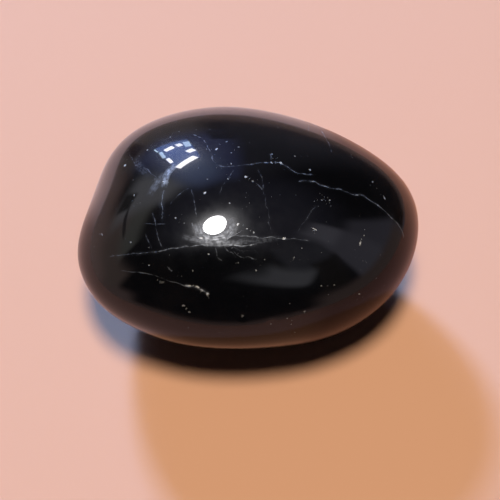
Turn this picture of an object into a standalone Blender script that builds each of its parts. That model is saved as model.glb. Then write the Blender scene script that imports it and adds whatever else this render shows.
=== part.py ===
"""Tumbled black tourmaline (schorl): one pebble, worn round in a tumbling barrel.

The rough lump had flat broken faces. Tumbling has worn each face back to its own distance from
the middle and has rounded every edge between them, so the whole outside is one formula: the
distance from the middle in a direction is a soft minimum of the distances to all the worn faces.
Four shallow dishes and swells are added to that, among them the waist at the pebble's broad end.
The lowest 0.25 mm is cut off flat, which is the spot that the pebble rests on.

Units are metres. +X runs along the length, +Z is up, and the origin is under the middle of the
pebble's box, on the surface that it rests on.
"""
from dataclasses import dataclass

import bmesh
import bpy
import numpy as np

MM = 0.001

EDGE_SHARPNESS = 8.0          # power of the soft minimum: higher leaves crisper edges
RESTING_CUT = 0.25 * MM       # thickness worn off the lowest point
GRID = 24                     # squares along each side of the starting cube

BLACK = (0.010, 0.010, 0.012, 1.0)
POLISHED_ROUGHNESS = 0.1
TOURMALINE_IOR = 1.63


@dataclass(frozen=True)
class Band:
    """Worn faces that go round the pebble in equal steps, all at one tilt above the level.

    The first face looks towards first_deg from +X, and the rest follow by way of +Y. Each number
    is the distance in mm from the middle of the pebble to one face.
    """

    tilt_deg: float
    first_deg: float
    faces_mm: tuple


@dataclass(frozen=True)
class Dish:
    """A broad round hollow, or with a negative depth a swell, centred on one direction."""

    azimuth_deg: float
    elevation_deg: float
    width_deg: float
    depth_mm: float


BANDS = (
    Band(tilt_deg=90.0, first_deg=0.0, faces_mm=(11.0,)),
    Band(tilt_deg=64.0, first_deg=0.0, faces_mm=(12.0, 11.5, 13.0, 13.0, 11.0, 9.0)),
    Band(tilt_deg=36.0, first_deg=0.0, faces_mm=(17.5, 17.5, 16.5, 21.5, 17.5, 16.5, 9.5, 13.0)),
    Band(tilt_deg=0.0, first_deg=22.5, faces_mm=(21.0, 16.5, 19.5, 21.0, 22.5, 15.0, 12.5, 17.0)),
    Band(tilt_deg=-36.0, first_deg=0.0, faces_mm=(19.0, 17.5, 15.5, 17.5, 18.5, 14.5, 11.0, 14.0)),
    Band(tilt_deg=-90.0, first_deg=0.0, faces_mm=(12.5,)),
)

WAIST = Dish(azimuth_deg=163.0, elevation_deg=4.0, width_deg=17.0, depth_mm=0.85)
HEEL = Dish(azimuth_deg=206.0, elevation_deg=-2.0, width_deg=12.0, depth_mm=-0.3)
SHOULDER = Dish(azimuth_deg=40.0, elevation_deg=6.0, width_deg=22.0, depth_mm=0.25)
BACK = Dish(azimuth_deg=98.0, elevation_deg=1.0, width_deg=11.0, depth_mm=-0.2)


def direction(azimuth_deg, elevation_deg):
    """Unit vector at an azimuth from +X towards +Y, and an elevation above the level."""
    azimuth, elevation = np.radians(azimuth_deg), np.radians(elevation_deg)
    return np.array((np.cos(azimuth) * np.cos(elevation),
                     np.sin(azimuth) * np.cos(elevation),
                     np.sin(elevation)))


def worn_faces():
    """Directions of all the worn faces, and their distances from the middle in mm."""
    facing = []
    distances = []
    for band in BANDS:
        step_deg = 360.0 / len(band.faces_mm)
        for index, distance in enumerate(band.faces_mm):
            facing.append(direction(band.first_deg + index * step_deg, band.tilt_deg))
            distances.append(distance)
    return np.array(facing), np.array(distances)


def pebble_distance(rays):
    """Distance in mm from the middle to the surface along each unit ray of an (n, 3) array.

    A face at distance d that looks along f is met at d / (ray . f). The soft minimum adds up the
    inverse distances, each to the power EDGE_SHARPNESS, and a dish takes away a bell curve of
    the angle between the ray and its centre.
    """
    facing, distances = worn_faces()
    nearness = np.maximum(rays @ facing.T, 0.0) / distances
    reach = np.sum(nearness ** EDGE_SHARPNESS, axis=1) ** (-1.0 / EDGE_SHARPNESS)
    for dish in (WAIST, HEEL, SHOULDER, BACK):
        cosine = rays @ direction(dish.azimuth_deg, dish.elevation_deg)
        angle_deg = np.degrees(np.arccos(np.clip(cosine, -1.0, 1.0)))
        reach -= dish.depth_mm * np.exp(-(angle_deg / dish.width_deg) ** 2)
    return reach


def clear_scene():
    """Remove whatever the file opened with."""
    for item in list(bpy.data.objects):
        bpy.data.objects.remove(item, do_unlink=True)


def tourmaline_material():
    """Polished black tourmaline."""
    material = bpy.data.materials.new("black_tourmaline")
    material.use_nodes = True
    shader = material.node_tree.nodes["Principled BSDF"]
    shader.inputs["Base Color"].default_value = BLACK
    shader.inputs["Roughness"].default_value = POLISHED_ROUGHNESS
    shader.inputs["Metallic"].default_value = 0.0
    shader.inputs["IOR"].default_value = TOURMALINE_IOR
    material.diffuse_color = BLACK
    return material


def blow_out(shape):
    """Move a gridded cube's corners out to the pebble's surface, its lowest point below z = 0."""
    corners = np.array([vertex.co[:] for vertex in shape.verts])
    rays = np.tan(corners * np.pi / 4.0)        # evens out the squares over the ball
    rays /= np.linalg.norm(rays, axis=1, keepdims=True)
    places = rays * pebble_distance(rays)[:, None] * MM
    places[:, 2] -= places[:, 2].min() + RESTING_CUT
    for vertex, place in zip(shape.verts, places):
        vertex.co = place


def cut_resting_flat(shape):
    """Cut away all that is below z = 0, and close the cut with one flat face."""
    everything = shape.verts[:] + shape.edges[:] + shape.faces[:]
    cut = bmesh.ops.bisect_plane(shape, geom=everything, dist=1e-7, plane_co=(0, 0, 0),
                                 plane_no=(0, 0, 1), clear_inner=True)
    rim = [item for item in cut["geom_cut"] if isinstance(item, bmesh.types.BMEdge)]
    bmesh.ops.contextual_create(shape, geom=rim)


def centre_over_origin(shape):
    """Bring the middle of the pebble's box over the origin."""
    places = np.array([vertex.co[:] for vertex in shape.verts])
    middle = (places.min(axis=0) + places.max(axis=0)) / 2.0
    bmesh.ops.translate(shape, verts=shape.verts[:], vec=(-middle[0], -middle[1], 0.0))


def build_stone():
    """The pebble: a gridded cube blown out to the worn shape, then cut flat where it rests."""
    shape = bmesh.new()
    bmesh.ops.create_cube(shape, size=2.0)
    bmesh.ops.subdivide_edges(shape, edges=shape.edges[:], cuts=GRID - 1, use_grid_fill=True)
    blow_out(shape)
    cut_resting_flat(shape)
    centre_over_origin(shape)
    bmesh.ops.recalc_face_normals(shape, faces=shape.faces[:])

    mesh = bpy.data.meshes.new("stone")
    shape.to_mesh(mesh)
    shape.free()
    mesh.shade_smooth()
    mesh.set_sharp_from_angle(angle=np.radians(20.0))
    mesh.materials.append(tourmaline_material())
    stone = bpy.data.objects.new("stone", mesh)
    bpy.context.scene.collection.objects.link(stone)


clear_scene()
build_stone()
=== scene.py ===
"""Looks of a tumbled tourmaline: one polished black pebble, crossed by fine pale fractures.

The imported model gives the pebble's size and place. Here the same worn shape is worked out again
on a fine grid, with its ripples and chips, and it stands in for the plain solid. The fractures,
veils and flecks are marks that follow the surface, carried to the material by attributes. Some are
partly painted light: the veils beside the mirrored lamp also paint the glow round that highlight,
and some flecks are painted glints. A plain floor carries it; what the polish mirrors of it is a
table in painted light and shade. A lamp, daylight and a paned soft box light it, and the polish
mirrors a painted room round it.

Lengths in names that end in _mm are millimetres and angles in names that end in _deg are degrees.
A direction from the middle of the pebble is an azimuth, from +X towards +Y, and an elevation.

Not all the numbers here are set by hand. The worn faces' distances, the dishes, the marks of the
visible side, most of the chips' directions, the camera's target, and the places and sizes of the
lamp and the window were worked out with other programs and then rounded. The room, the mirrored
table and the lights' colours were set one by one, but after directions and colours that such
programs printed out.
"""

import logging
from dataclasses import dataclass
from enum import Enum

import bpy
import numpy as np
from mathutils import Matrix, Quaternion, Vector


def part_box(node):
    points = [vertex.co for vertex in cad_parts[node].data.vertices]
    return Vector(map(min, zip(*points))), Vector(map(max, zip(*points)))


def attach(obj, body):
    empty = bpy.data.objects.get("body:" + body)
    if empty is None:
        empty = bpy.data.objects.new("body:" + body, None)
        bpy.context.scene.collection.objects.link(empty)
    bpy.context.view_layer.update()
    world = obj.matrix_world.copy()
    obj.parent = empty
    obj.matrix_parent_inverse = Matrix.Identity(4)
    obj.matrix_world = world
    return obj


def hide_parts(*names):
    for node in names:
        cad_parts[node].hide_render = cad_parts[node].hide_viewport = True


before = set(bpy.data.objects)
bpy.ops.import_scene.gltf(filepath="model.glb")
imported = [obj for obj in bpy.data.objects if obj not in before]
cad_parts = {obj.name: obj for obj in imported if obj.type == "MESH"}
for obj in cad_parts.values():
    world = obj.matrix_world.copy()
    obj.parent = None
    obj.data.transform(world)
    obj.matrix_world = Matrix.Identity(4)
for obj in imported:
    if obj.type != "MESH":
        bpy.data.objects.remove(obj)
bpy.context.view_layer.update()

log = logging.getLogger("tourmaline")

MM = 0.001

# Along a fracture: the curve's steps between waypoints, the gap between samples and the fewest of
# them, the gap between knots, and how strong it is from knot to knot.
CURVE_STEPS = 40
SAMPLE_MM = 0.12
LEAST_SAMPLES = 8
KNOT_MM = 0.45
PATCHY_LEAST, PATCHY_SPREAD = 0.2, 1.4

# What a corner with no mark has as its distance across, the share of its cell that each side of
# the pebble fills on the flat map, and the point that the lights face.
FAR_OFF = 50.0
CHART_FILL = 0.985
STAGE_MIDDLE_M = np.array((0.0, 0.0, 0.012))

Array = np.ndarray
Turn = tuple[float, float]
Triple = tuple[float, float, float]
Colour = tuple[float, float, float, float]
Step = tuple[float, float, float, float]
Socket = bpy.types.NodeSocket


def direction(azimuth_deg: float, elevation_deg: float) -> Array:
    """Unit vector at an azimuth and an elevation.

    Args:
        azimuth_deg: Angle from +X towards +Y.
        elevation_deg: Angle above the level.

    Returns:
        The vector (cos a cos e, sin a cos e, sin e).
    """
    azimuth, elevation = np.radians(azimuth_deg), np.radians(elevation_deg)
    return np.array((np.cos(azimuth) * np.cos(elevation),
                     np.sin(azimuth) * np.cos(elevation),
                     np.sin(elevation)))


def unit(vectors: Array) -> Array:
    """Each row of the array, scaled to length 1."""
    return vectors / np.linalg.norm(vectors, axis=-1, keepdims=True)


def add_object(name: str, data: bpy.types.ID) -> bpy.types.Object:
    """Make an object, and link it to the scene.

    Args:
        name: Its name.
        data: Its mesh, light or camera.

    Returns:
        The object, at the origin.
    """
    thing = bpy.data.objects.new(name, data)
    bpy.context.scene.collection.objects.link(thing)
    return thing


# ---- the worn shape


@dataclass(frozen=True)
class Band:
    """Worn faces that go round the pebble in equal steps, all at one tilt above the level.

    The first face looks towards first_deg, and the rest follow by way of +Y. Each number is the
    distance from the middle of the pebble to one face.
    """

    tilt_deg: float
    first_deg: float
    faces_mm: tuple[float, ...]


@dataclass(frozen=True)
class Dish:
    """A round hollow, or with a negative depth a swell, centred on one direction."""

    azimuth_deg: float
    elevation_deg: float
    width_deg: float
    depth_mm: float


@dataclass(frozen=True)
class Ripple:
    """One train of long, very low waves that hand-worn polish leaves on the surface."""

    azimuth_deg: float
    elevation_deg: float
    waves: float
    phase: float
    height_mm: float


@dataclass(frozen=True)
class WornShape:
    """The pebble's outside as a distance from its middle in every direction.

    The bands' distances are a least-squares program's results, rounded to 0.5 mm, apart from three
    in the band at -36 degrees that were changed. The dishes come from such a program too.
    The first five chips lie at or near spots that were picked one by one and that a program turned
    into directions. The chips' widths and depths, the last three chips and the ripples were given.
    """

    bands: tuple[Band, ...] = (
        Band(90.0, 0.0, (11.0,)),
        Band(64.0, 0.0, (12.0, 11.5, 13.0, 13.0, 11.0, 9.0)),
        Band(36.0, 0.0, (17.5, 17.5, 16.5, 21.5, 17.5, 16.5, 9.5, 13.0)),
        Band(0.0, 22.5, (21.0, 16.5, 19.5, 21.0, 22.5, 15.0, 12.5, 17.0)),
        Band(-36.0, 0.0, (19.0, 17.5, 15.5, 17.5, 18.5, 14.5, 11.0, 14.0)),
        Band(-90.0, 0.0, (12.5,)),
    )
    dishes: tuple[Dish, ...] = (
        Dish(163.0, 4.0, 17.0, 0.85),
        Dish(206.0, -2.0, 12.0, -0.3),
        Dish(40.0, 6.0, 22.0, 0.25),
        Dish(98.0, 1.0, 11.0, -0.2),
    )
    chips: tuple[Dish, ...] = (
        Dish(-127.0, 13.0, 2.4, 0.05),
        Dish(-96.0, 10.5, 2.0, 0.04),
        Dish(-120.5, 23.0, 2.2, 0.04),
        Dish(-80.0, 4.0, 2.6, 0.04),
        Dish(170.0, 42.0, 2.6, 0.03),
        Dish(61.0, 12.0, 3.0, 0.06),
        Dish(100.0, -22.0, 2.6, 0.05),
        Dish(18.0, -31.0, 3.2, 0.06),
    )
    ripples: tuple[Ripple, ...] = (
        Ripple(20.0, 10.0, 9.0, 0.4, 0.012),
        Ripple(110.0, 35.0, 11.0, 1.9, 0.010),
        Ripple(-50.0, 60.0, 13.0, 3.1, 0.008),
    )
    edge_sharpness: float = 8.0
    resting_cut_mm: float = 0.25

    def faces(self) -> tuple[Array, Array]:
        """Directions of all the worn faces, and their distances from the middle.

        Returns:
            An (n, 3) array of unit vectors and an array of n distances in mm.
        """
        facing: list[Array] = []
        distances: list[float] = []
        for band in self.bands:
            step_deg = 360.0 / len(band.faces_mm)
            for index, distance in enumerate(band.faces_mm):
                facing.append(direction(band.first_deg + index * step_deg, band.tilt_deg))
                distances.append(distance)
        return np.array(facing), np.array(distances)

    def reach_mm(self, rays: Array) -> Array:
        """Distance from the middle to the surface along each ray.

        A face at distance d that looks along f is met at d / (ray . f). The reach is a soft
        minimum of those: the inverse distances, each to the power edge_sharpness, are added up.
        A dish or chip takes away its depth times a bell curve of the angle from its centre, and
        a ripple adds a sine of the ray's share along its own direction.

        Args:
            rays: Unit vectors, an (n, 3) array.

        Returns:
            n distances in mm.
        """
        facing, distances = self.faces()
        nearness = np.maximum(rays @ facing.T, 0.0) / distances
        power = self.edge_sharpness
        reach = np.sum(nearness ** power, axis=1) ** (-1.0 / power)
        for dish in self.dishes + self.chips:
            cosine = rays @ direction(dish.azimuth_deg, dish.elevation_deg)
            angle_deg = np.degrees(np.arccos(np.clip(cosine, -1.0, 1.0)))
            reach -= dish.depth_mm * np.exp(-(angle_deg / dish.width_deg) ** 2)
        for ripple in self.ripples:
            share = rays @ direction(ripple.azimuth_deg, ripple.elevation_deg)
            reach += ripple.height_mm * np.sin(ripple.waves * share + ripple.phase)
        return reach

    def surface_mm(self, rays: Array) -> Array:
        """Points of the surface in mm from the middle: each ray times its reach."""
        return rays * self.reach_mm(rays)[:, None]

    def normals(self, rays: Array) -> Array:
        """Outward normals of the surface where the rays meet it.

        Two points a small step aside on the surface give two chords, and their cross product,
        turned outwards, is the normal.

        Args:
            rays: Unit vectors, an (n, 3) array.

        Returns:
            An (n, 3) array of unit vectors.
        """
        step, steep = 0.004, 0.9
        helper = np.where(np.abs(rays[:, 2:]) < steep, (0.0, 0.0, 1.0), (1.0, 0.0, 0.0))
        aside = unit(np.cross(helper, rays))
        other = np.cross(rays, aside)
        here = self.surface_mm(rays)
        first = self.surface_mm(unit(rays + step * aside)) - here
        second = self.surface_mm(unit(rays + step * other)) - here
        normal = unit(np.cross(first, second))
        return normal * np.sign(np.sum(normal * rays, axis=1, keepdims=True))


# ---- its marks


class Layer(Enum):
    """The layers of marks. Marks of two layers may cross. In one layer only the nearer shows."""

    LONG = "marks_long"
    SECOND = "marks_second"
    CROSSING = "marks_crossing"
    FEATHERS = "marks_feathers"
    FAINT = "marks_faint"
    VEILS = "marks_veils"
    FANS = "marks_fans"
    FLECKS = "marks_flecks"


@dataclass(frozen=True)
class Fade:
    """How a line ends: over this share of its length, as this power of the share left."""

    share: float
    power: float


HAIRLINE_FADE = Fade(0.12, 0.5)
VEIL_FADE = Fade(0.35, 1.0)
VEIL_FROM_MM = 0.4


@dataclass(frozen=True)
class Fracture:
    """A healed crack: the line where it meets the surface, through a few directions."""

    through: tuple[Turn, ...]
    width_mm: float = 0.09
    strength: float = 0.5
    waver_mm: float = 0.05

    def is_veil(self) -> bool:
        """Whether it is a broad streak, which fades slowly to both ends, and not a hairline."""
        return self.width_mm > VEIL_FROM_MM


# Some of the listed flecks are painted glints: pale spots that stand in for a pit catching the
# lamp's light.
@dataclass(frozen=True)
class Fleck:
    """A pale point or short dash: a pit that has kept a grain of polish."""

    azimuth_deg: float
    elevation_deg: float
    length_mm: float = 0.16
    width_mm: float = 0.16
    turn_deg: float = 0.0
    strength: float = 0.6


@dataclass
class MarkField:
    """Three numbers at each corner of the mesh, for one layer of marks.

    For a fracture or veil they are the signed distance across it in half-widths, the distance
    along it in mm, and its strength. For a fleck they are the places along and across it in
    half-sizes, and its strength. Between marks the strength is 0.
    """

    places: Array
    shape: WornShape
    full_reach_mm: float = 0.45
    fade_mm: float = 0.3
    values: Array | None = None
    nearest: Array | None = None

    def __post_init__(self) -> None:
        """Start with no marks anywhere."""
        count = len(self.places)
        self.values = np.tile((FAR_OFF, 0.0, 0.0), (count, 1))
        self.nearest = np.full(count, np.inf)

    def fade(self, distance: Array, body_mm: float) -> Array:
        """1 out to full_reach_mm past the mark's body, then down to 0 over fade_mm."""
        beyond = distance - body_mm - self.full_reach_mm
        return np.clip(1.0 - beyond / self.fade_mm, 0.0, 1.0)

    def claim(self, rows: Array, distance: Array, values: Array) -> None:
        """Write a mark's numbers at the corners that are nearer to it than to any other.

        Args:
            rows: Indices of the corners that the mark may reach.
            distance: The distance from each of them to the mark, in mm.
            values: Their three numbers, an (n, 3) array.
        """
        closer = distance < self.nearest[rows]
        chosen = rows[closer]
        self.nearest[chosen] = distance[closer]
        self.values[chosen] = values[closer]

    def add_fracture(self, fracture: Fracture, random: np.random.Generator) -> None:
        """Lay one fracture on the surface.

        The directions it goes through are joined by a Catmull-Rom curve, put on the surface and
        sampled every SAMPLE_MM. Small sideways jogs, straight from knot to knot, waver its line.
        Each corner nearby takes its nearest sample: the distance across is measured along the
        surface at right angles to the line, and the distance along adds up the samples. A
        hairline's strength is patchy from knot to knot, and a veil's is even.

        Args:
            fracture: The fracture.
            random: Where its jogs and its patchy strength come from.
        """
        line = self.line_mm(fracture)
        length = np.concatenate(((0.0,), np.cumsum(np.linalg.norm(np.diff(line, axis=0), axis=1))))
        ahead = unit(np.gradient(line, axis=0))
        side = unit(np.cross(self.shape.normals(unit(line)), ahead))
        knots = np.arange(0.0, length[-1] + 2.0 * KNOT_MM, KNOT_MM)
        jogs = np.interp(length, knots, random.normal(0.0, fracture.waver_mm, len(knots)))
        line = line + side * jogs[:, None]
        patchy = PATCHY_LEAST + PATCHY_SPREAD * random.random(len(knots)) ** 2
        patches = np.interp(length, knots, patchy)
        fade = HAIRLINE_FADE
        if fracture.is_veil():
            patches, fade = np.ones_like(patches), VEIL_FADE

        body_mm = fracture.width_mm / 2.0
        reach = body_mm + self.full_reach_mm + self.fade_mm
        low, high = line.min(axis=0) - reach, line.max(axis=0) + reach
        rows = np.flatnonzero(np.all((self.places > low) & (self.places < high), axis=1))
        offsets = self.places[rows][:, None, :] - line[None, :, :]
        squares = np.einsum("ijk,ijk->ij", offsets, offsets)
        index = np.argmin(squares, axis=1)
        distance = np.sqrt(squares[np.arange(len(rows)), index])
        offset = offsets[np.arange(len(rows)), index]
        across = np.sum(offset * side[index], axis=1)
        along = length[index] + np.sum(offset * ahead[index], axis=1)
        to_end = np.minimum(along, length[-1] - along)
        taper = np.clip(to_end / (fade.share * length[-1]), 0.0, 1.0)
        strength = fracture.strength * patches[index] * taper ** fade.power
        strength = strength * self.fade(distance, body_mm)
        self.claim(rows, distance, np.stack((across / body_mm, along, strength), axis=1))

    def line_mm(self, fracture: Fracture) -> Array:
        """The fracture's line on the surface, as evenly spaced points.

        Between waypoints P1 and P2, with neighbours P0 and P3, the Catmull-Rom curve at share t
        is half of 2 P1 + (P2 - P0) t + (2 P0 - 5 P1 + 4 P2 - P3) t^2 + (3 P1 - P0 - 3 P2 + P3) t^3.

        Args:
            fracture: The fracture.

        Returns:
            An (n, 3) array of points in mm from the middle.
        """
        points = np.array([direction(*turn) for turn in fracture.through])
        ends = np.vstack((2.0 * points[0] - points[1], points, 2.0 * points[-1] - points[-2]))
        share = np.linspace(0.0, 1.0, CURVE_STEPS, endpoint=False)[:, None]
        pieces = []
        for before, start, end, after in zip(ends, ends[1:], ends[2:], ends[3:]):
            pieces.append(0.5 * (2.0 * start + (end - before) * share
                                 + (2.0 * before - 5.0 * start + 4.0 * end - after) * share ** 2
                                 + (3.0 * start - before - 3.0 * end + after) * share ** 3))
        curve = self.shape.surface_mm(unit(np.vstack(pieces + [points[-1:]])))
        steps = np.linalg.norm(np.diff(curve, axis=0), axis=1)
        length = np.concatenate(((0.0,), np.cumsum(steps)))
        even = np.linspace(0.0, length[-1], max(LEAST_SAMPLES, int(length[-1] / SAMPLE_MM)))
        return np.stack([np.interp(even, length, curve[:, axis]) for axis in range(3)], axis=1)

    def add_flecks(self, flecks: list[Fleck]) -> None:
        """Lay flecks on the surface, each as a small ellipse in the plane that touches there.

        Args:
            flecks: The flecks.
        """
        rays = np.array([direction(f.azimuth_deg, f.elevation_deg) for f in flecks])
        centres = self.shape.surface_mm(rays)
        normals = self.shape.normals(rays)
        level = unit(np.cross((0.0, 0.0, 1.0), normals) + (1e-6, 0.0, 0.0))
        upward = np.cross(normals, level)
        for fleck, centre, first, second in zip(flecks, centres, level, upward):
            turn = np.radians(fleck.turn_deg)
            long_axis = np.cos(turn) * first + np.sin(turn) * second
            short_axis = np.cos(turn) * second - np.sin(turn) * first
            body_mm = fleck.length_mm / 2.0
            offset = self.places - centre
            distance = np.linalg.norm(offset, axis=1)
            rows = np.flatnonzero(distance < body_mm + self.full_reach_mm + self.fade_mm)
            offset, distance = offset[rows], distance[rows]
            strength = fleck.strength * self.fade(distance, body_mm)
            self.claim(rows, distance, np.stack((offset @ long_axis / body_mm,
                                                 offset @ short_axis / (fleck.width_mm / 2.0),
                                                 strength), axis=1))


# The places of the fractures and flecks of the visible side, and of the curl round the mirrored
# lamp, were picked one by one. A program turned them into these directions and rounded them, mostly
# to 0.5 degrees and some to 0.1, and some were then moved a little. Those of the hidden side were
# given.

# The curl is a pale veil round the spot where the lamp is mirrored: partly the stone's own veil,
# partly a painted halo of that highlight.
HALO_CURL: tuple[Turn, ...] = ((-152.5, 52), (-145, 50), (-137.5, 49), (-130.5, 51),
                               (-124, 55), (-121.5, 60.5), (-124, 65), (-132, 67.5))

FRACTURES: dict[Layer, tuple[Fracture, ...]] = {
    Layer.LONG: (
        Fracture(((139, 61.5), (136, 65), (129, 67.5), (106.5, 70.5), (84.5, 69), (64.5, 65),
                  (54.5, 62), (46.5, 61), (34.5, 59), (29, 55), (25.5, 50.5)), 0.08, 0.55),
        Fracture(((-163, 16), (-158, 22.5), (-152.5, 29), (-150, 32), (-147.5, 35),
                  (-144.5, 38.5), (-135.5, 45), (-126, 48.5), (-115, 52.5), (-100.5, 54),
                  (-85, 56), (-73.5, 56.5)), 0.09, 0.45),
        Fracture(((-172, 0), (-176, -12), (178, -30)), 0.09, 0.3),
        Fracture(((-155, 16.5), (-151, 19), (-147, 21), (-141, 22), (-136.5, 22.5), (-131, 22.5),
                  (-126, 22.8)), 0.06, 0.25),
        Fracture(((40, 34), (58, 22), (74, 6), (84, -18), (80, -44)), 0.09, 0.45),
    ),
    Layer.SECOND: (
        Fracture(((22.5, 60), (20, 53), (13, 46), (11.5, 41), (10, 36), (8.5, 32.5), (8.5, 29.5),
                  (6.5, 26), (4, 22), (1.5, 18), (-0.5, 13.5), (-3.5, 9.5)), 0.08, 0.6, 0.06),
        Fracture(((-8, -8), (-18, -24), (-40, -40)), 0.08, 0.35),
        Fracture(((-121, 57), (-110, 59.5), (-96.5, 61), (-81.5, 60), (-66, 58), (-53.5, 54),
                  (-43.5, 49.5), (-35.5, 43)), 0.08, 0.42),
        Fracture(((104, 10), (122, -4), (138, -20), (150, -42)), 0.08, 0.4),
    ),
    Layer.CROSSING: (
        Fracture(((83.5, 72), (69.5, 77), (23.5, 83.5), (-31.5, 80), (-54, 72.5), (-64, 60.5)),
                 0.08, 0.14, 0.10),
        Fracture(((173.5, 43), (-177, 41.5), (-170.5, 41), (-164, 39)), 0.16, 0.55, 0.03),
        Fracture(((-162.5, 31), (-158, 30.5), (-154, 29.5)), 0.07, 0.2),
        Fracture(((-4, 50), (-18.5, 53), (-38, 52)), 0.08, 0.22),
        Fracture(((-127, 49), (-123.5, 46), (-120.5, 43), (-116.5, 41.5)), 0.08, 0.32, 0.04),
        Fracture(((127.5, 71), (150.5, 72.5), (170, 71), (-176.5, 69.5)), 0.07, 0.16),
        Fracture(((60, 30), (66, 12), (56, -6), (38, -16)), 0.08, 0.25),
    ),
    Layer.FEATHERS: (
        Fracture(((-172, 37), (-165.5, 36.5), (-156.5, 34), (-151, 32.5)), 0.08, 0.3, 0.03),
        Fracture(((174, 55.5), (-171, 56), (-155.5, 53.5)), 0.08, 0.22, 0.03),
        Fracture(((-121, 51), (-115, 49), (-110, 48.5), (-106, 45.5)), 0.08, 0.35, 0.04),
        Fracture(((149.5, 22), (156.5, 27.5), (160.5, 34), (165.5, 39.5)), 0.09, 0.3, 0.08),
        Fracture(((92.5, 81), (23.5, 83.5)), 0.08, 0.16),
        Fracture(((71, 59), (66, 63.5)), 0.09, 0.35),
        Fracture(((-100, -32), (-66, -50), (0, -66), (84, -62)), 0.09, 0.35),
    ),
    Layer.FAINT: (
        Fracture(((-142.5, 27.5), (-139.5, 27)), 0.10, 0.6),
        Fracture(((-130.5, 22.7), (-127, 23.6), (-123.5, 23.4), (-120.5, 22.8), (-117.5, 21.2)),
                 0.11, 1.3, 0.04),
        Fracture(((-110, 49.5), (-102, 46.5), (-95, 47), (-87, 45)), 0.07, 0.25, 0.05),
        Fracture(((174, 54), (-178, 47.5), (-173.5, 45)), 0.07, 0.2),
        Fracture(((-168, 32), (-165, 36), (-162, 40)), 0.06, 0.12, 0.02),
        Fracture(((-154, 50), (-146.5, 48.5), (-140, 47)), 0.08, 0.5),
        Fracture(((-136, 45), (-126, 48.5), (-115, 52.5), (-100.5, 54), (-85, 56)), 0.13, 0.8,
                 0.02),
        Fracture(((127, 38), (125.5, 46), (130, 53), (139, 61.5)), 0.10, 0.25),
    ),
    # The first veil is the stone's own. The second veil and the curl lie beside the mirrored lamp:
    # they are partly veils and partly painted glow round that highlight.
    Layer.VEILS: (
        Fracture(((153, 45.2), (158, 43.8), (163, 42.9), (168, 42.9), (173, 43)), 0.7, 1.1, 0.02),
        Fracture(((-116, 54.5), (-98, 57.5), (-80, 58), (-62, 56.5), (-50, 52)), 0.6, 0.12, 0.02),
        Fracture(HALO_CURL, 0.95, 1.0, 0.02),
    ),
    # The first fan, along the long crack beside the mirrored lamp, is partly a veil and partly
    # painted glow of that highlight. The other two are veils.
    Layer.FANS: (
        Fracture(((-150, 42), (-139, 46), (-129, 49), (-118, 53), (-104, 56), (-90, 57.5)),
                 0.6, 0.55, 0.02),
        Fracture(((161, 41.5), (167.5, 40), (172, 38.5), (177, 36.5)), 0.8, 0.3, 0.02),
        Fracture(((151, 26), (156, 28.5), (160, 32), (165, 36.5)), 0.8, 0.12, 0.02),
    ),
}

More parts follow.
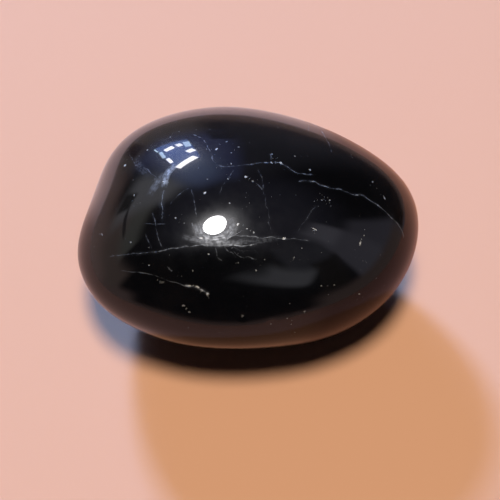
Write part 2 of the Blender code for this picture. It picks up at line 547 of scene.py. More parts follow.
# Some of these flecks are painted glints: pale spots that stand in for a pit catching the lamp's
# light.
# Each row is a fleck's azimuth, elevation, length, width, turn and strength.
FLECKS: tuple[Fleck, ...] = tuple(Fleck(*row) for row in (
    (-53.5, 54, 0.4, 0.26, 20, 1), (-25, 45.5, 0.6, 0.1, -55, 1), (-17, 24, 0.5, 0.18, 30, 0.8),
    (-12.5, 24.5, 0.2, 0.16, 0, 0.5), (31.5, 51, 0.28, 0.22, 40, 0.5),
    (69.5, 59, 0.22, 0.18, 0, 0.5), (54.5, 62, 0.36, 0.26, 0, 1), (64.5, 65, 0.26, 0.22, 0, 0.7),
    (50.5, 52, 0.2, 0.16, 0, 0.4), (17.5, 24.5, 0.22, 0.16, 0, 0.4),
    (9.5, 21, 0.42, 0.14, 30, 0.5), (2.5, 44, 0.2, 0.16, 0, 0.4), (1.5, 48, 0.18, 0.16, 0, 0.3),
    (113.5, 78.5, 0.32, 0.28, 0, 1), (93, 82, 0.2, 0.18, 0, 0.5), (-179.5, 62, 0.32, 0.24, 80, 1),
    (124.5, 54, 0.42, 0.2, 30, 1), (112.5, 51.5, 0.2, 0.16, 0, 0.4),
    (104.5, 57, 0.2, 0.16, 0, 0.4), (156.5, 23, 0.32, 0.3, 0, 1),
    (174.5, 30.5, 0.4, 0.12, 0, 0.5), (-163, 45, 0.2, 0.18, 0, 0.5),
    (-172.5, 17, 0.22, 0.18, 0, 0.4), (-162.5, 25, 0.22, 0.18, 0, 0.4),
    (147.5, 29, 0.22, 0.18, 0, 0.6), (-149, 24, 0.2, 0.16, 0, 0.4),
    (-127, 13, 0.34, 0.26, 0, 0.25), (-123.5, 10.5, 0.26, 0.2, 0, 0.25),
    (-96, 10.5, 0.3, 0.14, 60, 0.25), (-96.5, 11, 0.26, 0.12, -30, 0.2),
    (-80.5, 5, 0.24, 0.18, 0, 0.2), (-61.5, 9.5, 0.26, 0.2, 0, 0.3), (-48, 20, 0.2, 0.16, 0, 0.3),
    (-42, 17.5, 0.2, 0.16, 0, 0.3), (-34, 7.5, 0.24, 0.18, 0, 0.3),
    (-88, 38.5, 0.22, 0.18, 0, 0.4), (-54.5, 40.5, 0.2, 0.18, 0, 0.3),
    (-89.5, 63.5, 0.22, 0.2, 0, 0.4), (-127.5, 42.5, 0.22, 0.18, 0, 0.5),
    (-118, 21.5, 0.34, 0.26, 20, 0.8), (-124.5, 23.8, 0.42, 0.22, -20, 1),
    (-128.5, 23.2, 0.3, 0.16, 0, 0.9), (114.5, 60, 0.18, 0.16, 0, 0.4),
    (-154, 73.5, 0.18, 0.16, 0, 0.4), (161.5, 62.5, 0.2, 0.16, 0, 0.5),
    (150.5, 72.5, 0.2, 0.16, 0, 0.5), (168.5, 43, 0.7, 0.6, 60, 0.22),
    (168, 42, 0.14, 0.14, 0, 1), (-139.5, 47.8, 0.34, 0.24, 0, 1),
    (-116, 66.5, 0.3, 0.2, 40, 0.9), (-100.5, 65.5, 0.18, 0.14, 0, 0.5),
    (-140, 20.5, 0.5, 0.3, 20, 0.1),
))


# ---- the tourmaline


@dataclass(frozen=True)
class Grain:
    """Noise of so many cells to one unit of the place, as a smooth step from low to high.

    It is low where the noise is at start, and high where it is at end.
    """

    cells: float
    detail: float
    start: float
    end: float
    low: float = 0.0
    high: float = 1.0


@dataclass
class NodeSheet:
    """Short ways to add and link shader nodes in one node tree."""

    tree: bpy.types.NodeTree

    @classmethod
    def for_marks(cls, name: str) -> tuple["NodeSheet", Socket, Socket]:
        """Start a group that turns a layer's three numbers into an amount.

        Args:
            name: The group's name.

        Returns:
            The sheet of the new group, and its Marks and Place sockets.
        """
        tree = bpy.data.node_groups.new(name, "ShaderNodeTree")
        tree.interface.new_socket("Marks", in_out="INPUT", socket_type="NodeSocketVector")
        tree.interface.new_socket("Place", in_out="INPUT", socket_type="NodeSocketVector")
        tree.interface.new_socket("Amount", in_out="OUTPUT", socket_type="NodeSocketFloat")
        given = tree.nodes.new("NodeGroupInput")
        return cls(tree), given.outputs["Marks"], given.outputs["Place"]

    def finish(self, amount: Socket) -> bpy.types.NodeTree:
        """Give the amount out of the group.

        Args:
            amount: What the group works out.

        Returns:
            The group's tree.
        """
        out = self.tree.nodes.new("NodeGroupOutput")
        self.link(amount, out.inputs["Amount"])
        return self.tree

    def add(self, kind: str, **settings: object) -> bpy.types.Node:
        """Add a node, and set its properties.

        Args:
            kind: Which kind of node.
            **settings: Its properties by name.

        Returns:
            The node.
        """
        node = self.tree.nodes.new(kind)
        for name, value in settings.items():
            setattr(node, name, value)
        return node

    def link(self, source: Socket, target: Socket) -> None:
        """Link two sockets."""
        self.tree.links.new(source, target)

    def feed(self, target: Socket, value: object) -> None:
        """Link a socket to the target, or set the target to a plain value.

        Args:
            target: The input.
            value: A socket or a plain value.
        """
        if isinstance(value, Socket):
            self.link(value, target)
        else:
            target.default_value = value

    def group(self, tree: bpy.types.NodeTree, **inputs: object) -> bpy.types.Node:
        """Add a node group, and feed its inputs.

        Args:
            tree: The group's tree.
            **inputs: Sockets or plain values by the input's name.

        Returns:
            The group's node.
        """
        node = self.add("ShaderNodeGroup", node_tree=tree)
        for name, value in inputs.items():
            self.feed(node.inputs[name], value)
        return node

    def maths(self, operation: str, *values: object) -> Socket:
        """Work out one operation on numbers.

        Args:
            operation: The Math node's operation.
            *values: Up to three sockets or numbers.

        Returns:
            The result.
        """
        node = self.add("ShaderNodeMath", operation=operation)
        for socket, value in zip(node.inputs, values):
            self.feed(socket, value)
        return node.outputs[0]

    def dot(self, place: Socket, along: Triple) -> Socket:
        """How far a place lies along a fixed direction.

        Args:
            place: The place.
            along: The direction, a unit vector.

        Returns:
            The dot product.
        """
        node = self.add("ShaderNodeVectorMath", operation="DOT_PRODUCT")
        self.link(place, node.inputs[0])
        node.inputs[1].default_value = along
        return node.outputs["Value"]

    def split(self, vector: Socket) -> tuple[Socket, ...]:
        """Take a vector apart.

        Args:
            vector: The vector.

        Returns:
            Its three numbers.
        """
        node = self.add("ShaderNodeSeparateXYZ")
        self.link(vector, node.inputs[0])
        return tuple(node.outputs)

    def noise(self, place: Socket, scale: float, detail: float) -> Socket:
        """Fractal noise.

        Args:
            place: Where it is read.
            scale: Its cells to one unit of the place.
            detail: How many finer octaves it has.

        Returns:
            A number from 0 to 1.
        """
        node = self.add("ShaderNodeTexNoise")
        self.link(place, node.inputs["Vector"])
        node.inputs["Scale"].default_value = scale
        node.inputs["Detail"].default_value = detail
        return node.outputs[0]

    def ramp(self, value: Socket, start: float, end: float, low: float = 0.0,
             high: float = 1.0) -> Socket:
        """A smooth step.

        Args:
            value: What it depends on.
            start: The value where it is low.
            end: The value where it is high.
            low: What it gives at start and before.
            high: What it gives at end and past it.

        Returns:
            The step.
        """
        node = self.add("ShaderNodeMapRange", interpolation_type="SMOOTHSTEP")
        self.feed(node.inputs["Value"], value)
        limits = {"From Min": start, "From Max": end, "To Min": low, "To Max": high}
        for name, limit in limits.items():
            node.inputs[name].default_value = limit
        return node.outputs[0]

    def grain(self, place: Socket, grain: Grain) -> Socket:
        """The smooth step of a grain's noise."""
        noise = self.noise(place, grain.cells, grain.detail)
        return self.ramp(noise, grain.start, grain.end, grain.low, grain.high)

    def ragged(self, place: Socket, scale: float, detail: float, spread: float) -> Socket:
        """Noise round 0, that makes an edge ragged by up to half the spread."""
        return self.maths("MULTIPLY_ADD", self.noise(place, scale, detail), spread, -spread / 2.0)

    def mix(self, share: Socket, first: object, second: object) -> Socket:
        """Mix two colours.

        Args:
            share: The second colour's share.
            first: A socket or a colour.
            second: A socket or a colour.

        Returns:
            The mixed colour.
        """
        node = self.add("ShaderNodeMix", data_type="RGBA")
        self.feed(node.inputs["Factor"], share)
        colours = [socket for socket in node.inputs if socket.type == "RGBA"]
        self.feed(colours[0], first)
        self.feed(colours[1], second)
        return next(socket for socket in node.outputs if socket.type == "RGBA")


def start_material(name: str) -> tuple[bpy.types.Material, NodeSheet, bpy.types.Node, Socket]:
    """Start a material.

    Args:
        name: Its name.

    Returns:
        The material, its sheet, its shader, and the place on the object that is shaded.
    """
    material = bpy.data.materials.new(name)
    material.use_nodes = True
    sheet = NodeSheet(material.node_tree)
    place = sheet.add("ShaderNodeTexCoord").outputs["Object"]
    return material, sheet, material.node_tree.nodes["Principled BSDF"], place


@dataclass(frozen=True)
class TourmalineFinish:
    """Polished black tourmaline: near-black, glossy, with pale marks just under the polish."""

    name: str = "polished_tourmaline"
    black: Colour = (0.0004, 0.0004, 0.0006, 1.0)
    cloud: Colour = (0.0020, 0.0020, 0.0026, 1.0)
    # The pale of the lines also paints the glow beside the mirrored lamp where veils lie there, and
    # the flecks' colour also paints glints.
    pale: Colour = (0.33, 0.49, 0.76, 1.0)
    fleck_and_glint: Colour = (0.57, 0.77, 1.0, 1.0)
    ior: float = 1.63
    polish_roughness: float = 0.02
    clouds: Grain = Grain(160.0, 5.0, 0.48, 0.72)
    grain_roughness: Grain = Grain(900.0, 4.0, 0.3, 0.7, 0.20, 0.27)
    grain_level: float = 0.166
    mark_roughness: float = 0.40
    mark_level: float = 1.66
    fully_marked: float = 0.12
    relief_strength: float = 0.35
    relief_mm: float = 0.02
    line_ragged: Triple = (5000.0, 2.0, 1.6)
    line_swell: Grain = Grain(1300.0, 2.0, 0.42, 0.66, 0.7, 1.9)
    line_edge: Step = (0.3, 1.25, 1.0, 0.0)
    line_grain: Grain = Grain(2600.0, 3.0, 0.36, 0.62, 0.2, 1.0)
    line_haze: Step = (0.5, 6.0, 0.06, 0.0)
    fleck_ragged: Triple = (6500.0, 3.0, 2.4)
    fleck_edge: Step = (0.45, 1.15, 1.0, 0.0)
    veil_edge: Step = (0.1, 1.5, 1.0, 0.0)
    veil_patches: Grain = Grain(2400.0, 5.0, 0.36, 0.66, 0.25, 1.0)
    fibre_stretch: Triple = (2.2, 0.3, 0.0)
    fibres: Grain = Grain(1.6, 5.0, 0.34, 0.62, 0.4, 1.0)

    def make(self) -> bpy.types.Material:
        """Build the material.

        Returns:
            The material, with its marks read from the layers' attributes.
        """
        material, sheet, shader, place = start_material(self.name)
        veil_and_halo_group = self.veil_and_halo_group()
        groups = {Layer.VEILS: veil_and_halo_group, Layer.FANS: veil_and_halo_group,
                  Layer.FLECKS: self.fleck_and_glint_group()}
        fracture_group = self.fracture_group()
        amounts = {}
        for layer in Layer:
            attribute = sheet.add("ShaderNodeAttribute", attribute_name=layer.value)
            drawn = sheet.group(groups.get(layer, fracture_group),
                                Marks=attribute.outputs["Vector"], Place=place)
            amounts[layer] = drawn.outputs["Amount"]
        flecks = amounts.pop(Layer.FLECKS)
        lines = None
        for amount in amounts.values():
            lines = amount if lines is None else sheet.maths("MAXIMUM", lines, amount)
        marks = sheet.maths("MAXIMUM", lines, flecks)

        ground = sheet.mix(sheet.grain(place, self.clouds), self.black, self.cloud)
        # Here the pale marks beside the mirrored lamp paint its glow, and some flecks paint glints.
        colour = sheet.mix(flecks, sheet.mix(lines, ground, self.pale), self.fleck_and_glint)
        grain = sheet.grain(place, self.grain_roughness)
        marked = sheet.ramp(marks, 0.0, self.fully_marked)
        roughness = sheet.maths("MULTIPLY_ADD", marked,
                                sheet.maths("SUBTRACT", self.mark_roughness, grain), grain)
        level = sheet.maths("MULTIPLY_ADD", marks, self.mark_level, self.grain_level)
        relief = sheet.add("ShaderNodeBump")
        relief.inputs["Strength"].default_value = self.relief_strength
        relief.inputs["Distance"].default_value = self.relief_mm * MM
        sheet.link(sheet.maths("MULTIPLY", marks, -1.0), relief.inputs["Height"])

        sheet.link(colour, shader.inputs["Base Color"])
        sheet.link(roughness, shader.inputs["Roughness"])
        sheet.link(relief.outputs["Normal"], shader.inputs["Normal"])
        shader.inputs["IOR"].default_value = self.ior
        sheet.link(level, shader.inputs["Specular IOR Level"])
        shader.inputs["Coat Weight"].default_value = 1.0
        shader.inputs["Coat Roughness"].default_value = self.polish_roughness
        shader.inputs["Coat IOR"].default_value = self.ior
        material.diffuse_color = self.black
        return material

    def fracture_group(self) -> bpy.types.NodeTree:
        """Draws a hairline where the distance across is under one half-width.

        Returns:
            The node group, which gives the line's amount from 0 to 1.
        """
        sheet, marks, place = NodeSheet.for_marks("fracture_line")
        across, _, strength = sheet.split(marks)
        ragged = sheet.ragged(place, *self.line_ragged)
        off_line = sheet.maths("ABSOLUTE", sheet.maths("ADD", across, ragged))
        swell = sheet.grain(place, self.line_swell)
        line = sheet.ramp(sheet.maths("DIVIDE", off_line, swell), *self.line_edge)
        grain = sheet.grain(place, self.line_grain)
        body = sheet.maths("MULTIPLY", sheet.maths("MULTIPLY", line, grain), strength)
        haze = sheet.maths("MULTIPLY", sheet.ramp(off_line, *self.line_haze), strength)
        return sheet.finish(sheet.maths("MAXIMUM", body, haze))

    def fleck_and_glint_group(self) -> bpy.types.NodeTree:
        """Draws a small ellipse where the place in half-sizes is under 1 from its centre.

        Returns:
            The node group, which gives the fleck's amount from 0 to 1.
        """
        sheet, marks, place = NodeSheet.for_marks("fleck")
        along, across, strength = sheet.split(marks)
        radius = sheet.maths("SQRT", sheet.maths("ADD", sheet.maths("MULTIPLY", along, along),
                                                 sheet.maths("MULTIPLY", across, across)))
        ragged = sheet.ragged(place, *self.fleck_ragged)
        spot = sheet.ramp(sheet.maths("ADD", radius, ragged), *self.fleck_edge)
        return sheet.finish(sheet.maths("MULTIPLY", spot, strength))

    def veil_and_halo_group(self) -> bpy.types.NodeTree:
        """Draws a broad bright streak of fibres and patches that thin out sideways.

        Returns:
            The node group, which gives the veil's amount from 0 to 1.
        """
        # Beside the mirrored lamp these streaks are partly painted highlight glow.
        sheet, marks, place = NodeSheet.for_marks("veil")
        across, _, strength = sheet.split(marks)
        spread = sheet.ramp(sheet.maths("ABSOLUTE", across), *self.veil_edge)
        patch = sheet.grain(place, self.veil_patches)
        texture = sheet.maths("MULTIPLY", patch, self.drawn_out(sheet, marks))
        return sheet.finish(sheet.maths("MULTIPLY", sheet.maths("MULTIPLY", spread, texture),
                                        strength))

    def drawn_out(self, sheet: NodeSheet, marks: Socket) -> Socket:
        """Fibres: noise that is fine across a mark and drawn out along it.

        Args:
            sheet: The veil group's nodes.
            marks: The layer's three numbers.

        Returns:
            The fibres' amount.
        """
        stretched = sheet.add("ShaderNodeVectorMath", operation="MULTIPLY")
        sheet.link(marks, stretched.inputs[0])
        stretched.inputs[1].default_value = self.fibre_stretch
        return sheet.grain(stretched.outputs["Vector"], self.fibres)


@dataclass
class Stone:
    """The pebble: a fine closed grid of the worn shape, with its layers of marks."""

    shape: WornShape = WornShape()
    finish: TourmalineFinish = TourmalineFinish()
    name: str = "tumbled_stone"
    squares: int = 126
    random_flecks: int = 260
    least_fleck_mm: float = 0.09
    fleck_spread_mm: float = 0.13
    least_strength: float = 0.05
    strength_spread: float = 0.4
    slimmest: float = 0.4
    seed: int = 7

    def build(self) -> bpy.types.Object:
        """Make the pebble's object, dress it, and put it in place of the plain solid.

        Returns:
            The finished object.
        """
        corners, quads, chart = self.cube_grid()
        rays = unit(np.tan(corners * np.pi / 4.0))
        places = self.shape.surface_mm(rays)
        stone = self.make_object(self.settle(places), quads, chart)
        self.add_marks(stone, places)
        stone.data.materials.append(self.finish.make())
        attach(stone, "root")
        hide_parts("stone")
        log.info("%s: %d corners, %d squares", stone.name, len(places), len(quads))
        return stone

    def cube_grid(self) -> tuple[Array, Array, Array]:
        """The corners and squares of a cube from -1 to 1, cut into a grid on each side.

        Each side is a grid of squares by squares, spanned by two axes u and v at the end of a
        third. Corners that sides share are made one.

        Returns:
            Corner places (n, 3), the four corner numbers of each square, counter-clockwise seen
            from outside, and the flat map places of those four corners (m, 4, 2).
        """
        steps = np.linspace(-1.0, 1.0, self.squares + 1)
        u, v = np.meshgrid(steps, steps, indexing="ij")
        row, column = np.meshgrid(np.arange(self.squares), np.arange(self.squares), indexing="ij")
        first = (row * (self.squares + 1) + column).ravel()
        ring = np.stack((first, first + self.squares + 1, first + self.squares + 2, first + 1),
                        axis=1)
        grids, quads, charts = [], [], []
        for side in range(6):
            axis, sign = side // 2, 1.0 - 2.0 * (side % 2)
            grid = np.empty(u.shape + (3,))
            grid[..., axis] = sign
            grid[..., (axis + 1) % 3] = u * sign
            grid[..., (axis + 2) % 3] = v
            grids.append(grid.reshape(-1, 3))
            quads.append(ring + side * u.size)
            share = np.stack((u.ravel(), v.ravel()), axis=1)[ring] * CHART_FILL / 2.0 + 0.5
            charts.append((share + (side % 3, side // 3)) / (3.0, 2.0))
        corners = np.vstack(grids)
        _, kept, renumber = np.unique(np.round(corners, 6), axis=0, return_index=True,
                                      return_inverse=True)
        return corners[kept], renumber.reshape(-1)[np.vstack(quads)], np.vstack(charts)

    def settle(self, places: Array) -> Array:
        """Move the shape to where the plain solid rests, and wear its lowest point flat.

        Args:
            places: Points in mm from the middle.

        Returns:
            The points in mm in the model's frame, with what was below z = 0 pressed up to it.
        """
        low, high = (np.array(corner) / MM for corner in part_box("stone"))
        shift = (low + high) / 2.0 - (places.min(axis=0) + places.max(axis=0)) / 2.0
        shift[2] = -places[:, 2].min() - self.shape.resting_cut_mm
        settled = places + shift
        settled[:, 2] = np.maximum(settled[:, 2], 0.0)
        return settled

    def make_object(self, places: Array, quads: Array, chart: Array) -> bpy.types.Object:
        """Make a smooth object from arrays.

        Args:
            places: Corner places in mm.
            quads: Four corner numbers of each square.
            chart: The flat map places of those corners.

        Returns:
            The object, linked to the scene, at the origin.
        """
        mesh = bpy.data.meshes.new(self.name)
        mesh.from_pydata((places * MM).tolist(), [], quads.tolist())
        mesh.shade_smooth()
        flat_map = mesh.uv_layers.new(name="OFBake")
        flat_map.data.foreach_set("uv", chart.astype(np.float32).ravel())
        return add_object(self.name, mesh)

    def add_marks(self, stone: bpy.types.Object, places: Array) -> None:
        """Write each layer of marks as an attribute of the mesh.

        Args:
            stone: The pebble's object.
            places: Its corners in mm from the middle of the shape.
        """
        random = np.random.default_rng(self.seed)
        for layer in Layer:
            field = MarkField(places, self.shape)
            if layer is Layer.FLECKS:
                field.add_flecks(list(FLECKS) + self.scattered_flecks(random))
            for fracture in FRACTURES.get(layer, ()):
                field.add_fracture(fracture, random)
            attribute = stone.data.attributes.new(layer.value, "FLOAT_VECTOR", "POINT")
            attribute.data.foreach_set("vector", field.values.astype(np.float32).ravel())
            log.info("layer %s: %d corners marked", layer.value,
                     int(np.count_nonzero(field.values[:, 2])))

    def scattered_flecks(self, random: np.random.Generator) -> list[Fleck]:
        """Small pits strewn evenly over the whole pebble.

        Args:
            random: Where their places and sizes come from.

        Returns:
            The flecks.
        """
        count = self.random_flecks
        rays = unit(random.normal(size=(count, 3)))
        azimuths = np.degrees(np.arctan2(rays[:, 1], rays[:, 0]))
        elevations = np.degrees(np.arcsin(rays[:, 2]))
        lengths = self.least_fleck_mm + self.fleck_spread_mm * random.random(count) ** 3
        slimness = random.uniform(self.slimmest, 1.0, count)
        turns = random.uniform(0.0, 180.0, count)
        strengths = self.least_strength + self.strength_spread * random.random(count) ** 3
        return [Fleck(*values) for values in zip(azimuths, elevations, lengths,
                                                 lengths * slimness, turns, strengths)]


# ---- the floor and the lights


# A sector's colour is painted light and shade: it stands in for how light falls on that part of the
# table.
@dataclass(frozen=True)
class PaintedLightZone:
    """A sector of the table as the polish mirrors it: full colour inside, none outside."""

    azimuth_deg: float
    inside_deg: float
    outside_deg: float
    colour: Colour


@dataclass(frozen=True)
class Floor:
    """A plain pale floor, which isn't part of the pebble.

    It is one colour wherever the camera sees it. In the polish it is a table with sectors of
    other colours, which are painted light and shade: a painted sheen towards the window and painted
    shade on the side away from it. It ends behind the pebble and, farther off, all round, where it
    fades out as painted shade. Past its ends the polish mirrors the room instead.
    """

    half_side_m: float = 3.0
    colour: Colour = (0.82, 0.60, 0.52, 1.0)
    roughness: float = 0.9
    # What the polish mirrors of the floor is a table in painted light and shade: a painted sheen
    # towards the window at 110 degrees and painted shade at -40 and -95 degrees.
    mirrored_colour: Colour = (0.49, 0.33, 0.30, 1.0)
    painted_light_zones: tuple[PaintedLightZone, ...] = (
        PaintedLightZone(20, 15, 60, (0.62, 0.33, 0.24, 1)),
        PaintedLightZone(-40, 0, 78, (0.26, 0.15, 0.14, 1)),
        PaintedLightZone(-95, 18, 44, (0.42, 0.27, 0.25, 1)),
        PaintedLightZone(110, 32, 44, (0.8, 0.62, 0.6, 1)),
    )
    back_edge_mm: tuple[float, float] = (95.0, 165.0)
    round_edge_mm: tuple[float, float] = (110.0, 240.0)
    specular: float = 0.2

    def build(self) -> bpy.types.Object:
        """Make the floor at z = 0.

        Returns:
            The floor's object.
        """
        half = self.half_side_m
        mesh = bpy.data.meshes.new("floor")
        mesh.from_pydata([(-half, -half, 0), (half, -half, 0), (half, half, 0), (-half, half, 0)],
                         [], [(0, 1, 2, 3)])
        mesh.materials.append(self.make_material())
        floor = add_object("floor", mesh)
        return floor

    def make_material(self) -> bpy.types.Material:
        """Build the floor's material.

        A zone's share is a smooth step in the cosine of the turn from the zone's azimuth.

        Returns:
            The material, with the painted light and shade and the edge in what the polish mirrors.
        """
        material, sheet, shader, place = start_material("pale_floor")
        outward = sheet.add("ShaderNodeVectorMath", operation="NORMALIZE")
        sheet.link(place, outward.inputs[0])
        # Glossy rays see this painted table, whose sectors are painted light and shade.
        table = self.mirrored_colour
        for zone in self.painted_light_zones:
            cosine = sheet.dot(outward.outputs["Vector"], tuple(direction(zone.azimuth_deg, 0.0)))
            limits = np.cos(np.radians((zone.outside_deg, zone.inside_deg)))
            table = sheet.mix(sheet.ramp(cosine, *limits), table, zone.colour)
        mirrored = sheet.add("ShaderNodeLightPath").outputs["Is Glossy Ray"]
        sheet.link(sheet.mix(mirrored, self.colour, table), shader.inputs["Base Color"])
        # Glossy rays see through the floor past the back edge and, fading out as painted shade, all
        # round.
        length = sheet.add("ShaderNodeVectorMath", operation="LENGTH")
        sheet.link(place, length.inputs[0])
        ends = ((sheet.split(place)[1], self.back_edge_mm),
                (length.outputs["Value"], self.round_edge_mm))
        beyond = sheet.maths("MAXIMUM", *(sheet.ramp(distance, start * MM, end * MM)
                                          for distance, (start, end) in ends))
        seen_through = sheet.maths("MULTIPLY", mirrored, beyond)
        sheet.link(sheet.maths("SUBTRACT", 1.0, seen_through), shader.inputs["Alpha"])
        shader.inputs["Roughness"].default_value = self.roughness
        shader.inputs["Specular IOR Level"].default_value = self.specular
        return material


class Glow(Enum):
    """Colours of light, each with a largest part of 1."""

    LAMP = (1.0, 0.66, 0.39)
    DAYLIGHT = (0.35, 0.57, 1.0)
    WHITE = (1.0, 0.98, 1.0)
    SKY = (0.62, 0.8, 1.0)
    BLUE = (0.19, 0.35, 1.0)


class Outline(Enum):
    """Outlines of a panel."""

    RECTANGLE = "RECTANGLE"
    ELLIPSE = "ELLIPSE"


@dataclass(frozen=True)
class Panel:
    """A flat light that faces the pebble from one direction, sized by the angle it fills."""

    name: str
    azimuth_deg: float
    elevation_deg: float
    width_deg: float
    height_deg: float
    radiance: float
    glow: Glow
    distance_m: float = 1.2
    across_deg: float = 0.0
    up_deg: float = 0.0
    turn_deg: float = 0.0
    outline: Outline = Outline.RECTANGLE
    lights: bool = True
    mirrored: bool = True

    def build(self) -> bpy.types.Object:
        """Make the light.

        The panel's plane touches the sphere of distance_m round the pebble in the panel's
        direction. across_deg and up_deg shift it in that plane, and turn_deg turns it there.

        Returns:
            The light's object.
        """
        outward = direction(self.azimuth_deg, self.elevation_deg)
        right = unit(np.cross(outward, (0.0, 0.0, 1.0)))
        upward = np.cross(right, outward)
        spans = np.tan(np.radians((self.across_deg, self.up_deg))) * self.distance_m
        centre = outward * self.distance_m + right * spans[0] + upward * spans[1]
        lamp = bpy.data.lights.new(self.name, "AREA")
        lamp.shape = self.outline.value
        lamp.size = 2.0 * self.distance_m * float(np.tan(np.radians(self.width_deg / 2.0)))
        lamp.size_y = 2.0 * self.distance_m * float(np.tan(np.radians(self.height_deg / 2.0)))
        filled = np.pi / 4.0 if self.outline is Outline.ELLIPSE else 1.0
        lamp.energy = self.radiance * float(np.pi) * lamp.size * lamp.size_y * filled
        lamp.color = self.glow.value
        light = add_object(self.name, lamp)
        light.rotation_mode = "QUATERNION"
        facing = Vector(-outward).to_track_quat("-Z", "Y")
        roll = Quaternion((0.0, 0.0, 1.0), float(np.radians(self.turn_deg)))
        light.rotation_quaternion = facing @ roll
        light.location = centre + STAGE_MIDDLE_M
        light.visible_camera = False
        light.visible_diffuse = self.lights
        light.visible_glossy = self.mirrored
        return light


@dataclass(frozen=True)
class Patch:
    """A soft-edged area of the room: a wall, a doorway, or light on the ceiling.

    It is a box in azimuth and elevation whose edges fade over soft_deg. Its middle moves
    sideways by lean degrees for each degree that it rises.
    """

    azimuth_deg: float
    elevation_deg: float
    width_deg: float
    height_deg: float
    colour: Triple
    soft_deg: float = 8.0
    lean: float = 0.0


@dataclass(frozen=True)
class Room:
    """The dim room that the polish mirrors, the faint light it gives, and a pale backdrop."""

    patches: tuple[Patch, ...] = (
        Patch(0, -22, 400, 44, (0.24, 0.16, 0.15), 8),
        Patch(0, 80, 400, 44, (0.08, 0.08, 0.12), 26),
        Patch(162, 36, 60, 20, (0.3, 0.3, 0.28), 8, -0.6),
        Patch(184, -2, 104, 28, (0.32, 0.22, 0.21), 14),
        Patch(184, 19, 70, 30, (0.31, 0.23, 0.21), 12),
        Patch(170, -2, 46, 34, (0.46, 0.31, 0.29), 22),
        Patch(140, 38, 26, 32, (0.5, 0.5, 0.55), 14, -0.3),
        Patch(146, 24.5, 9, 9, (0.04, 0.04, 0.04), 3),
        Patch(160, 32, 6, 7, (0.05, 0.045, 0.05), 2.5, 2.7),
        Patch(115, 5, 36, 20, (0.2, 0.17, 0.17), 8),
        Patch(123, 2.5, 8, 12, (0.07, 0.05, 0.06), 3),
        Patch(78, 30, 30, 60, (0.07, 0.07, 0.09), 24),
        Patch(106, 38, 39, 50, (0.16, 0.18, 0.38), 12, -0.2),
        Patch(113, 46, 24, 26, (0.42, 0.54, 0.96), 20),
        Patch(93, 15, 9, 8, (0.05, 0.05, 0.07), 2.5),
        Patch(3, 21, 25, 58, (0.19, 0.18, 0.23), 9, -0.35),
        Patch(-18, 27, 24, 68, (0.25, 0.24, 0.3), 6),
        Patch(-15.5, 56.5, 17, 10, (0.38, 0.37, 0.45), 6),
        Patch(-46, 50, 32, 16, (0.12, 0.12, 0.15), 8, 0.4),
        Patch(-43.5, 33, 21, 31, (0.04, 0.035, 0.035), 4.5, 0.35),
        Patch(-24, 1, 76, 28, (0.21, 0.15, 0.14), 14),
        Patch(-68, 37.5, 24, 14, (0.34, 0.34, 0.38), 7, 1),
        Patch(21, 6, 13, 17, (0.02, 0.015, 0.015), 5),
    )
    dark: Colour = (0.02, 0.02, 0.025, 1.0)
    ambient: Colour = (0.009, 0.006, 0.005, 1.0)
    backdrop: Colour = (0.50, 0.48, 0.47, 1.0)

    def build(self) -> bpy.types.World:
        """Paint the patches one over another on the world.

        Returns:
            The world, which the scene now has.
        """
        world = bpy.data.worlds.new("room")
        world.use_nodes = True
        sheet = NodeSheet(world.node_tree)
        parts = sheet.split(sheet.add("ShaderNodeTexCoord").outputs["Object"])
        azimuth = sheet.maths("DEGREES", sheet.maths("ARCTAN2", parts[1], parts[0]))
        elevation = sheet.maths("DEGREES", sheet.maths("ARCSINE", parts[2]))
        painted = self.dark
        for patch in self.patches:
            painted = self.paint(sheet, azimuth, elevation, painted, patch)
        path = sheet.add("ShaderNodeLightPath")
        lit = sheet.mix(path.outputs["Is Glossy Ray"], self.ambient, painted)
        seen = sheet.mix(path.outputs["Is Camera Ray"], lit, self.backdrop)
        sheet.link(seen, world.node_tree.nodes["Background"].inputs["Color"])
        bpy.context.scene.world = world
        return world

    def paint(self, sheet: NodeSheet, azimuth: Socket, elevation: Socket, under: object,
              patch: Patch) -> Socket:
        """Paint one patch over what is there.

        Its share is a smooth step in the angle across times a smooth step in the angle up.

        Args:
            sheet: The world's nodes.
            azimuth: The direction's azimuth in degrees.
            elevation: Its elevation in degrees.
            under: The colour that is there.
            patch: The patch.

        Returns:
            The colour with the patch on it.
        """
        rise = sheet.maths("SUBTRACT", elevation, patch.elevation_deg)
        middle = sheet.maths("MULTIPLY_ADD", rise, patch.lean, patch.azimuth_deg)
        turn = sheet.maths("WRAP", sheet.maths("SUBTRACT", azimuth, middle), 180.0, -180.0)
        shares = []
        for angle, whole in ((turn, patch.width_deg), (rise, patch.height_deg)):
            inner, outer = (whole - patch.soft_deg) / 2.0, (whole + patch.soft_deg) / 2.0
            shares.append(sheet.ramp(sheet.maths("ABSOLUTE", angle), inner, outer, 1.0, 0.0))
        share = sheet.maths("MULTIPLY", *shares)
        return sheet.mix(share, under, patch.colour + (1.0,))


WINDOW: Turn = (112, 26)

# The lamp is two panels: one gives light and shadows, and the other is what the polish mirrors.
# They stand at unlike distances, because a ray skips both where two coincide. The window's panes
# lie in one plane, in front of a blue blind.

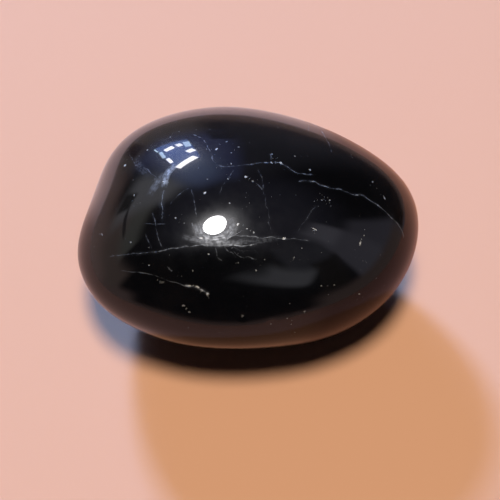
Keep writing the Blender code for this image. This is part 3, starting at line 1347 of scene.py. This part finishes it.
PANELS: tuple[Panel, ...] = (
    Panel("lamp", 267, 77.2, 10.9, 15.2, 65, Glow.LAMP, 1.3, 0, 0, 12, Outline.ELLIPSE,
          mirrored=False),
    Panel("lamp_mirrored", 258.2, 75.8, 10.9, 15.2, 40, Glow.WHITE, 0.63, 0, 0, 12,
          Outline.ELLIPSE, lights=False),
    Panel("daylight", 115.5, 35, 8, 8, 119, Glow.DAYLIGHT, 0.6, mirrored=False),
    Panel("window_transom", *WINDOW, 10.2, 3.8, 14, Glow.WHITE, 1.5, -1.3, 9.6, 21),
    Panel("window_pane_left", *WINDOW, 1.5, 4.6, 14, Glow.WHITE, 1.5, -5.7, 2.8, -4),
    Panel("window_pane_left_low", *WINDOW, 1.6, 5.2, 7, Glow.SKY, 1.5, -5.7, -3.5, -12),
    Panel("window_sliver", *WINDOW, 0.6, 3.2, 9, Glow.SKY, 1.5, -5.9, -8.5),
    Panel("window_pane_low", *WINDOW, 3.8, 2.1, 14, Glow.WHITE, 1.5, -1.4, -5.7, 8),
    Panel("window_pane_low_middle", *WINDOW, 1.9, 2.3, 10, Glow.WHITE, 1.5, 2.7, -6.1, 6),
    Panel("window_pane_low_right", *WINDOW, 2.1, 4.4, 6, Glow.SKY, 1.5, 5.2, -5.3, -12),
    Panel("window_pane_right", *WINDOW, 3, 2.9, 13, Glow.WHITE, 1.5, 3.9, 1, 13),
    Panel("window_blind", *WINDOW, 12, 19, 1.9, Glow.BLUE, 1.6, -0.2, -0.2, -6),
)


@dataclass(frozen=True)
class Camera:
    """The camera: how it looks at the pebble."""

    elevation_deg: float = 55.0
    distance_mm: float = 218.6
    target_mm: Triple = (0.10, -1.73, 10.0)
    lens_mm: float = 148.7
    sensor_mm: float = 36.0
    clip_mm: float = 10.0

    def build(self) -> bpy.types.Object:
        """Make the camera, on the -Y side of the pebble, and make it the scene's.

        Returns:
            The camera's object.
        """
        data = bpy.data.cameras.new("camera")
        data.lens = self.lens_mm
        data.sensor_width = self.sensor_mm
        data.clip_start = self.clip_mm * MM
        camera = add_object("camera", data)
        outward = Vector(direction(-90.0, self.elevation_deg))
        camera.location = Vector(self.target_mm) * MM + outward * self.distance_mm * MM
        camera.rotation_mode = "QUATERNION"
        camera.rotation_quaternion = (-outward).to_track_quat("-Z", "Y")
        bpy.context.scene.camera = camera
        return camera


def main() -> None:
    """Build the pebble, the floor, the lights and the camera, in that order."""
    logging.basicConfig(level=logging.INFO, format="%(name)s: %(message)s")
    Stone().build()
    Floor().build()
    for panel in PANELS:
        panel.build()
    Room().build()
    Camera().build()
    bpy.context.scene.view_settings.view_transform = "Standard"


if __name__ == "__main__":
    main()
